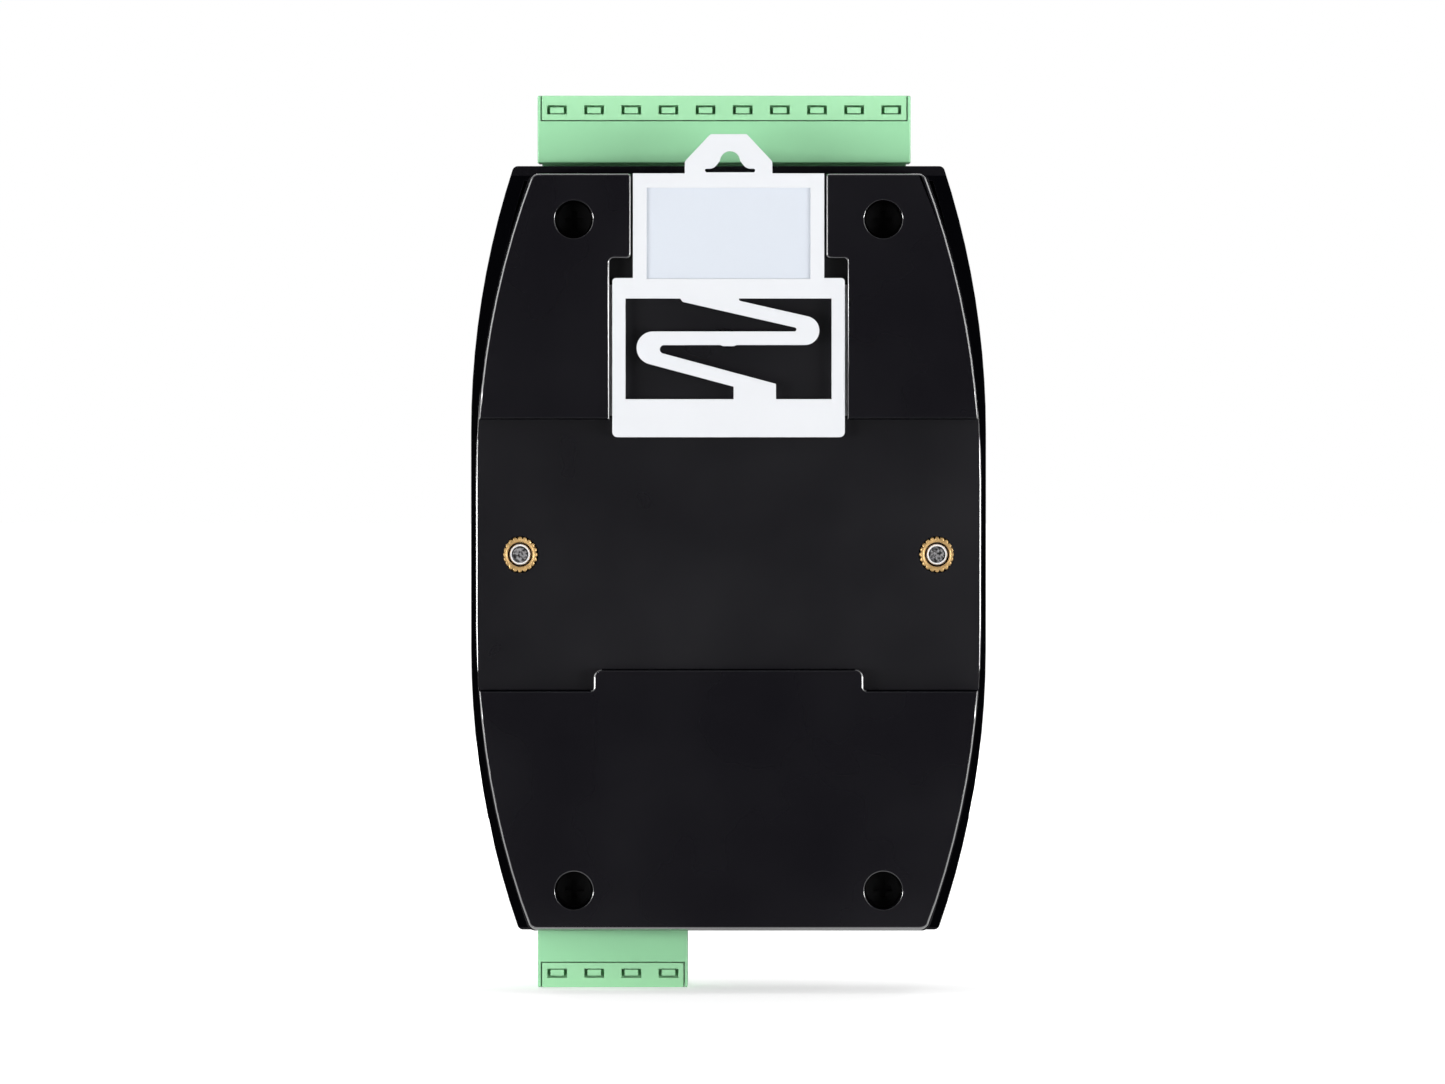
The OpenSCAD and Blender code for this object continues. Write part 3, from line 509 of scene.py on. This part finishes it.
label_film = finish("label_film", (0.60, 0.62, 0.64), 0.38, grain=0.3, grain_size=0.12, drift=0.02,
                    patchy=0.1)
clear_lens = finish("clear_lens", (0.86, 0.93, 0.89), 0.12, drift=0.03, Transmission_Weight=0.75, IOR=1.49)
front_y = 31.5 * MM
film = from_node("front_overlay")
round_over(film, rim_at(film, front_y), 0.08, 2)
into_piece(film, "label", "case", [label_film], ["front_overlay"])
pipes = from_node("light_pipes")
round_over(pipes, rim_at(pipes, front_y), 0.15, 3)
into_piece(pipes, "light_guides", "case", [clear_lens], ["light_pipes"])

# ---- Rail latch -------------------------------------------------------------------------
# One white acetal moulding that slides in the rear shell: a frame with the hook, a plate with
# the pull tab, and a folded spring in the frame's window whose middle arm is held by a peg.

white_pom = finish("white_pom", (0.65, 0.663, 0.687), 0.36, grain=0.12, grain_size=0.4, drift=0.02,
                   patchy=0.15)
# A darker, bluer copy of the white acetal for the sunk panel: painted shade.
pom_panel_painted_shade = finish("pom_panel_painted_shade", (0.562, 0.598, 0.655), 0.42, grain=0.12, grain_size=0.4, drift=0.02,
                   patchy=0.1)
latch = from_node("latch")
for x, z, radius in ((15.74, 15.95, 0.7), (15.74, 37.5, 0.5), (12.95, 51.66, 0.5), (5.93, 53.26, 0.15),
                     (2.45, 56.96, 0.15), (3.4, 51.8, 0.22), (3.4, 52.3, 0.22), (2.22, 52.3, 0.5),
                     (16.9, 36.6, 0.3), (16.9, 18.85, 0.3)):
    round_over(latch, [e for e in latch.edges if along_y(e) and turn(e) > 25
                       and near(e.verts[0].co, x, z, 0.1)], radius, 4)
for vert in latch.verts:   # the pull slot sits a little off the middle
    if abs(vert.co.x) < 3.45 * MM and 51.75 * MM < vert.co.z < 54.8 * MM:
        vert.co.x += 0.2 * MM
    if abs(abs(vert.co.x) - 13.09 * MM) < 0.02 * MM and vert.co.z > 37 * MM:
        vert.co.x -= math.copysign(0.14, vert.co.x) * MM
for vert in latch.verts:   # the panel is sunk less deep
    if abs(vert.co.y + 2.6 * MM) < 0.01 * MM:
        vert.co.y -= 0.35 * MM

spring = prism(
    [(-6.67, 34.9), (-6.2, 34.27)] + arc(8.93, 30.54, 0.27, 77, -90) + arc(-10.21, 28.03, 2.24, 90, 255, 20)
    + [(0.68, 22.79), (0.68, 20.9), (6.44, 20.9), (6.4, 23.17)] + arc(-8.75, 27.84, 0.57, 255, 90)
    + [(-1.15, 28.43), (-0.7, 28.28), (0.7, 28.28), (1.15, 28.43)] + arc(10.33, 30.39, 1.96, -90, 77, 20)
    + [(1.6, 34.39), (1.42, 34.5), (1.38, 34.9)], -3.3, -0.4)
spring = combine(spring, prism(arc(0, 29.3, 1.4, 0, 345, 23), -1.6, 0.2), "DIFFERENCE")
latch = combine(latch, spring, "UNION")
back_y = -3.3 * MM
round_over(latch, rim_at(latch, back_y, 40), 0.14, 2)
spring_top, spring_middle, spring_foot = 34.5, 29.35, 21.3
for height in (spring_top, spring_middle, spring_foot):
    bmesh.ops.bisect_plane(latch, geom=latch.verts[:] + latch.edges[:] + latch.faces[:], dist=0.0001 * MM,
                           plane_co=(0, 0, height * MM), plane_no=(0, 0, 1))
latch_mesh = bpy.data.meshes.new("latch_whole")
latch.to_mesh(latch_mesh)
latch.free()


def in_spring(face, low, high):
    return all(abs(v.co.x) < 13.3 * MM and (low - 0.01) * MM < v.co.z < (high + 0.01) * MM
               for v in face.verts)


def latch_part(name, body, wanted, stands_for=()):
    """One part of the moulding, closed where it was cut from the rest."""
    bm = bmesh.new()
    bm.from_mesh(latch_mesh)
    bmesh.ops.delete(bm, geom=[f for f in bm.faces if not wanted(f)], context="FACES")
    open_edges = [e for e in bm.edges if e.is_boundary]
    bmesh.ops.holes_fill(bm, edges=open_edges, sides=0)
    bmesh.ops.recalc_face_normals(bm, faces=bm.faces)
    for face in bm.faces:
        middle = face.calc_center_median()
        # The sunk panel takes the darker copy: painted shade.
        sunk = abs(middle.y + 2.95 * MM) < 0.02 * MM and abs(middle.z - 43.5 * MM) < 3 * MM
        if sunk and face.calc_area() > 2e-5:
            face.material_index = 1
    return into_piece(bm, name, body, [white_pom, pom_panel_painted_shade], stands_for)


latch_part("latch_frame", "latch", lambda f: not in_spring(f, spring_foot, spring_top), ["latch"])
bpy.context.view_layer.update()
upper = latch_part("spring_upper", None, lambda f: in_spring(f, spring_middle, spring_top),
                   ["latch_spring"])
lower = latch_part("spring_lower", None, lambda f: in_spring(f, spring_foot, spring_middle))
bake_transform(upper)
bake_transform(lower)

# ---- Threaded inserts -------------------------------------------------------------------
# Two knurled brass bushes pressed into the rear shell's posts. The knurl shows as round lobes
# at the rim; the mouth is chamfered and the face is turned.

brass = finish("brass", (0.62, 0.40, 0.165), 0.36, grain=0.35, grain_size=0.10, drift=0.12, drift_size=1.5,
               metallic=0.55, patchy=0.3)


def loft(rings, closed=False):
    """A skin through rings of equally many (x, y, z) points in millimetres."""
    bm = bmesh.new()
    loops = [[bm.verts.new([c * MM for c in point]) for point in ring] for ring in rings]
    for one, other in zip(loops, loops[1:] + (loops[:1] if closed else [])):
        for i in range(len(one)):
            j = (i + 1) % len(one)
            bm.faces.new((one[i], one[j], other[j], other[i]))
    bmesh.ops.recalc_face_normals(bm, faces=bm.faces)
    return bm


def insert_ring(x, y, radius, lobes=0.0):
    angles = [math.tau * i / 160 for i in range(160)]
    spans = [radius + lobes * (abs(math.cos(10 * a)) ** 0.6 - 1) for a in angles]
    return [(x + s * math.cos(a), y, s * math.sin(a)) for s, a in zip(spans, angles)]


inserts = bmesh.new()
for x in (-screw_x, screw_x):
    one = loft([insert_ring(x, 6.5, 1.76), insert_ring(x, 6.5, 2.30, 0.10), insert_ring(x, 6.3, 2.46, 0.36),
                insert_ring(x, 0.34, 2.46, 0.36), insert_ring(x, 0.16, 2.40, 0.34),
                insert_ring(x, 0.11, 2.30, 0.26), insert_ring(x, 0.10, 2.04), insert_ring(x, 0.10, 1.90),
                insert_ring(x, 0.14, 1.80), insert_ring(x, 0.34, 1.68), insert_ring(x, 0.6, 1.66)],
               closed=True)
    absorb(inserts, one)
into_piece(inserts, "insert_bushes", "case", [brass], ["thread_inserts"], sharp=50, weighted=False)

# ---- Case and board screws --------------------------------------------------------------
# Two long pan-head screws, zinc plated, drive from the front into the bushes; their cut ends show
# at the rear. Four black-oxide screws sit deep in the corner bores and hold the board on turned
# brass spacers.

zinc_steel = finish("zinc_steel", (0.74, 0.75, 0.77), 0.30, grain=0.2, grain_size=0.15, drift=0.06,
                    drift_size=2, metallic=0.6, patchy=0.3)
cut_steel = finish("cut_steel", (0.19, 0.19, 0.20), 0.30, grain=1.0, grain_size=0.30, drift=0.85,
                   drift_size=0.45, steep=0.10, metallic=0.4, patchy=0.6)
# A near-white steel for the ring round each cut end: painted highlight.
steel_painted_highlight = finish("steel_painted_highlight", (0.93, 0.93, 0.94), 0.30, drift=0.03, drift_size=1, metallic=0.25)
# Black oxide, darkened further and barely reflective as painted shade deep in the corner bores.
black_oxide = finish("black_oxide", (0.004, 0.004, 0.005), 0.50, grain=0.3, drift=0.2, drift_size=3,
                     Specular_IOR_Level=0.15)
cover_screw = [(0, 0.92), (0.50, 0.86), (0.96, 0.92), (1.02, 1.10), (1.10, 1.10), (1.14, 0.82), (1.34, 0.80),
               (1.42, 0.92), (1.42, 1.20)]
cover_screw += [(1.50 if i % 2 == 0 else 1.28, 1.45 + 0.25 * i) for i in range(25)]
cover_screw += [(1.46, 7.8), (1.46, 27.5), (2.62, 27.5), (2.75, 27.65), (2.75, 28.4), (2.60, 29.1),
                (2.1, 29.6), (1.2, 29.84), (0, 29.9)]


def spun(profile, steps=40):
    """A closed solid turned about the Y axis from (radius, y) points in millimetres."""
    bm = bmesh.new()
    line = [bm.verts.new((r * MM, y * MM, 0)) for r, y in profile]
    edges = [bm.edges.new(pair) for pair in zip(line, line[1:])]
    bmesh.ops.spin(bm, geom=line + edges, cent=(0, 0, 0), axis=(0, 1, 0), angle=math.tau, steps=steps,
                   use_merge=True)
    bmesh.ops.remove_doubles(bm, verts=bm.verts, dist=0.001 * MM)
    bmesh.ops.recalc_face_normals(bm, faces=bm.faces)
    return bm


cross = [(0.42, 0.42), (0.42, 1.5), (-0.42, 1.5), (-0.42, 0.42), (-1.5, 0.42), (-1.5, -0.42), (-0.42, -0.42),
         (-0.42, -1.5), (0.42, -1.5), (0.42, -0.42), (1.5, -0.42), (1.5, 0.42)]
screws = bmesh.new()
one = combine(spun(cover_screw), prism(cross, 28.4, 30.5), "DIFFERENCE")
for face in one.faces:
    middle = face.calc_center_median()
    off = math.hypot(middle.x, middle.z)
    # the ring round each cut end takes the near-white steel: painted highlight
    face.material_index = 0 if middle.y > 1.12 * MM else 1 if off < 1.12 * MM else 2
one_mesh = bpy.data.meshes.new("cover_screw")
one.to_mesh(one_mesh)
one.free()
for x in (-screw_x, screw_x):
    before = len(screws.verts)
    screws.from_mesh(one_mesh)
    screws.verts.ensure_lookup_table()
    bmesh.ops.translate(screws, verts=screws.verts[before:], vec=(x * MM, 0, 0))
into_piece(screws, "case_screws", "case", [zinc_steel, cut_steel, steel_painted_highlight],
           ["cover_screws"], sharp=40)
fixings = from_node("board_screws")
round_over(fixings, rim_at(fixings, 2.7 * MM), 0.3, 3)
into_piece(fixings, "board_fixings", "case", [black_oxide], ["board_screws"])

# ---- Pluggable terminal blocks ----------------------------------------------------------
# Ten and four poles of green polyamide. Each shell holds the cages and is closed at its outer
# end by a cap strip with wire funnels and sunk clip windows; the strip is in a paler green.

green_pa = finish("green_pa", (0.305, 0.665, 0.370), 0.42, grain=0.15, grain_size=0.5, drift=0.04,
                  patchy=0.15)
green_cap = finish("green_cap", (0.340, 0.690, 0.392), 0.40, grain=0.15, grain_size=0.5, drift=0.04,
                   patchy=0.15)
pole_pitch = 5.08
back, front = 14, 29   # the plugs' faces across their depth
plugs = (              # name, left side, right side, outer end, step down to the neck
    ("plug_10", -26.1, 24.9, 62.5, 53.3),
    ("plug_4", -26.1, -5.58, -59.5, -50.3))


def outer_edges(bm, planes):
    """The convex edges that lie in two of the planes given as (axis, millimetres)."""
    def level(edge, axis, place):
        return all(abs(v.co[axis] - place * MM) < 0.01 * MM for v in edge.verts)
    return [e for e in bm.edges if e.is_convex and turn(e) > 60
            and sum(level(e, axis, place) for axis, place in planes) > 1]


for plug, left, right, outer, block in plugs:
    shell_bm = from_node(plug + "_shell")
    for vert in shell_bm.verts:   # the neck that goes into the header is set well back
        if abs(vert.co.y - 15.6 * MM) < 0.01 * MM:
            vert.co.y += 1.4 * MM
    joint = outer - math.copysign(3.5, outer)
    block_planes = ((0, left), (0, right), (1, back), (1, front), (2, outer), (2, block))
    round_over(shell_bm, outer_edges(shell_bm, block_planes), 0.2, 3)
    round_over(shell_bm, outer_edges(shell_bm, ((1, back), (1, front), (2, joint))), 0.1, 2)
    into_piece(shell_bm, plug + "_housing", plug, [green_pa], [plug + "_shell"])
    cap_bm = from_node(plug + "_cap")
    for vert in cap_bm.verts:   # a fine gap between the strip and the block
        if abs(vert.co.z - joint * MM) < 0.01 * MM:
            vert.co.z += math.copysign(0.16, outer) * MM
        off = (vert.co.x / MM - left - 0.1) % pole_pitch - pole_pitch / 2
        if abs(abs(off) - 0.75) < 0.02 and 14.2 * MM < vert.co.y < 15 * MM:
            vert.co.x += math.copysign(0.17, off) * MM
        if abs(vert.co.y - 14.9 * MM) < 0.01 * MM:   # the clip windows are deep and their tongues broad
            vert.co.y += 1.0 * MM
    slits = bmesh.new()
    low, high = sorted((outer - math.copysign(2.56, outer), outer - math.copysign(2.40, outer)))
    base, top = sorted((joint - math.copysign(0.5, outer), outer + math.copysign(0.5, outer)))
    cuts = [(left + 0.30, left + 0.58, base, top, 15.0), (right - 0.58, right - 0.30, base, top, 15.0)]
    for pole in range(round((right - left) / pole_pitch)):   # each window's tongue stands clear
        x = left + 0.1 + pole_pitch * (pole + 0.5)
        cuts.append((x - 1.2, x + 1.2, low, high, 15.8))
    for x0, x1, z0, z1, depth in cuts:
        absorb(slits, prism([(x0, z0), (x1, z0), (x1, z1), (x0, z1)], 13.9, depth))
    cap_bm = combine(cap_bm, slits, "DIFFERENCE")
    sill = [e for e in rim_at(cap_bm, back * MM)
            if 0.9 < abs(outer) - abs(e.verts[0].co.z / MM) < 2.7
            and abs(e.calc_length() - 3.34 * MM) > 0.1 * MM]
    round_over(cap_bm, sill, 0.05, 1)
    cap_planes = ((0, left + 0.58), (0, right - 0.58), (1, back), (1, front), (2, outer), (2, joint))
    round_over(cap_bm, outer_edges(cap_bm, cap_planes), 0.08, 2)
    into_piece(cap_bm, plug + "_strip", plug, [green_cap], [plug + "_cap"])

# ---- Clamp screws, cages and contacts ---------------------------------------------------
# Slotted zinc-plated clamp screws and plated cages, one to a pole, with tinned copper contacts.

tin_copper = finish("tin_copper", (0.70, 0.69, 0.66), 0.32, grain=0.15, drift=0.08, drift_size=3,
                    metallic=0.7, patchy=0.25)
for plug, poles in (("plug_10", 10), ("plug_4", 4)):
    for pole in range(1, poles + 1):
        name = f"{plug}_screw_{pole}"
        bm = from_node(name)
        round_over(bm, rim_at(bm, 28.4 * MM), 0.15, 2)
        into_piece(bm, name + "_turned", name, [zinc_steel], [name])
        name = f"{plug}_cage_{pole}"
        bm = from_node(name)
        square = [e for e in bm.edges if e.is_convex and turn(e) > 80 and e.calc_length() > 3 * MM]
        round_over(bm, square, 0.15, 2)
        into_piece(bm, name + "_formed", name, [zinc_steel], [name])
    node[plug + "_contacts"].data.materials.clear()
    node[plug + "_contacts"].data.materials.append(tin_copper)

# ---- Headers ----------------------------------------------------------------------------
# The green pin headers on the board that the plugs push onto, with square tinned pins.

for header in ("header_10", "header_4"):
    bm = from_node(header)
    square = [e for e in bm.edges if e.is_convex and turn(e) > 80 and e.calc_length() > 6 * MM]
    round_over(bm, square, 0.2, 3)
    into_piece(bm, header + "_body", "case", [green_pa], [header])
pins = from_node("header_pins")
round_over(pins, [e for e in pins.edges if e.is_convex and turn(e) > 80], 0.08, 1)
into_piece(pins, "pins", "case", [tin_copper], ["header_pins"])

# ---- Circuit board and its parts --------------------------------------------------------
# The board under green solder mask, with the driver chip and its heat sink, and the parts
# round them, each in its own finish.

board_green = finish("board_green", (0.012, 0.10, 0.045), 0.30, grain=0.5, grain_size=0.6, drift=0.35,
                     drift_size=1.2, patchy=0.2)
chip_black = finish("chip_black", (0.020, 0.020, 0.022), 0.50, grain=0.5, grain_size=0.15, drift=0.1)
grey_gel = finish("grey_gel", (0.30, 0.34, 0.42), 0.60, grain=0.3, drift=0.1)
aluminium = finish("aluminium", (0.72, 0.73, 0.75), 0.38, grain=0.4, grain_size=0.3, drift=0.05, metallic=0.9,
                   patchy=0.2)
can_sleeve = finish("can_sleeve", (0.020, 0.024, 0.050), 0.35, grain=0.2, drift=0.1)
ferrite = finish("ferrite", (0.085, 0.088, 0.090), 0.55, grain=0.6, grain_size=0.2, drift=0.15)
ceramic_tan = finish("ceramic_tan", (0.46, 0.33, 0.18), 0.40, grain=0.2, drift=0.1)
board_looks = {
    "circuit_board": board_green, "board_spacers": brass, "driver_chip": chip_black, "thermal_pad": grey_gel,
    "heat_sink": aluminium, "sense_resistors": chip_black, "bulk_capacitors": can_sleeve,
    "power_inductor": ferrite, "microcontroller": chip_black, "crystal": zinc_steel,
    "bus_transceiver": chip_black, "optocouplers": chip_black, "small_capacitors": ceramic_tan,
    "indicator_leds": clear_lens}
for name, look in board_looks.items():
    node[name].data.materials.clear()
    node[name].data.materials.append(look)
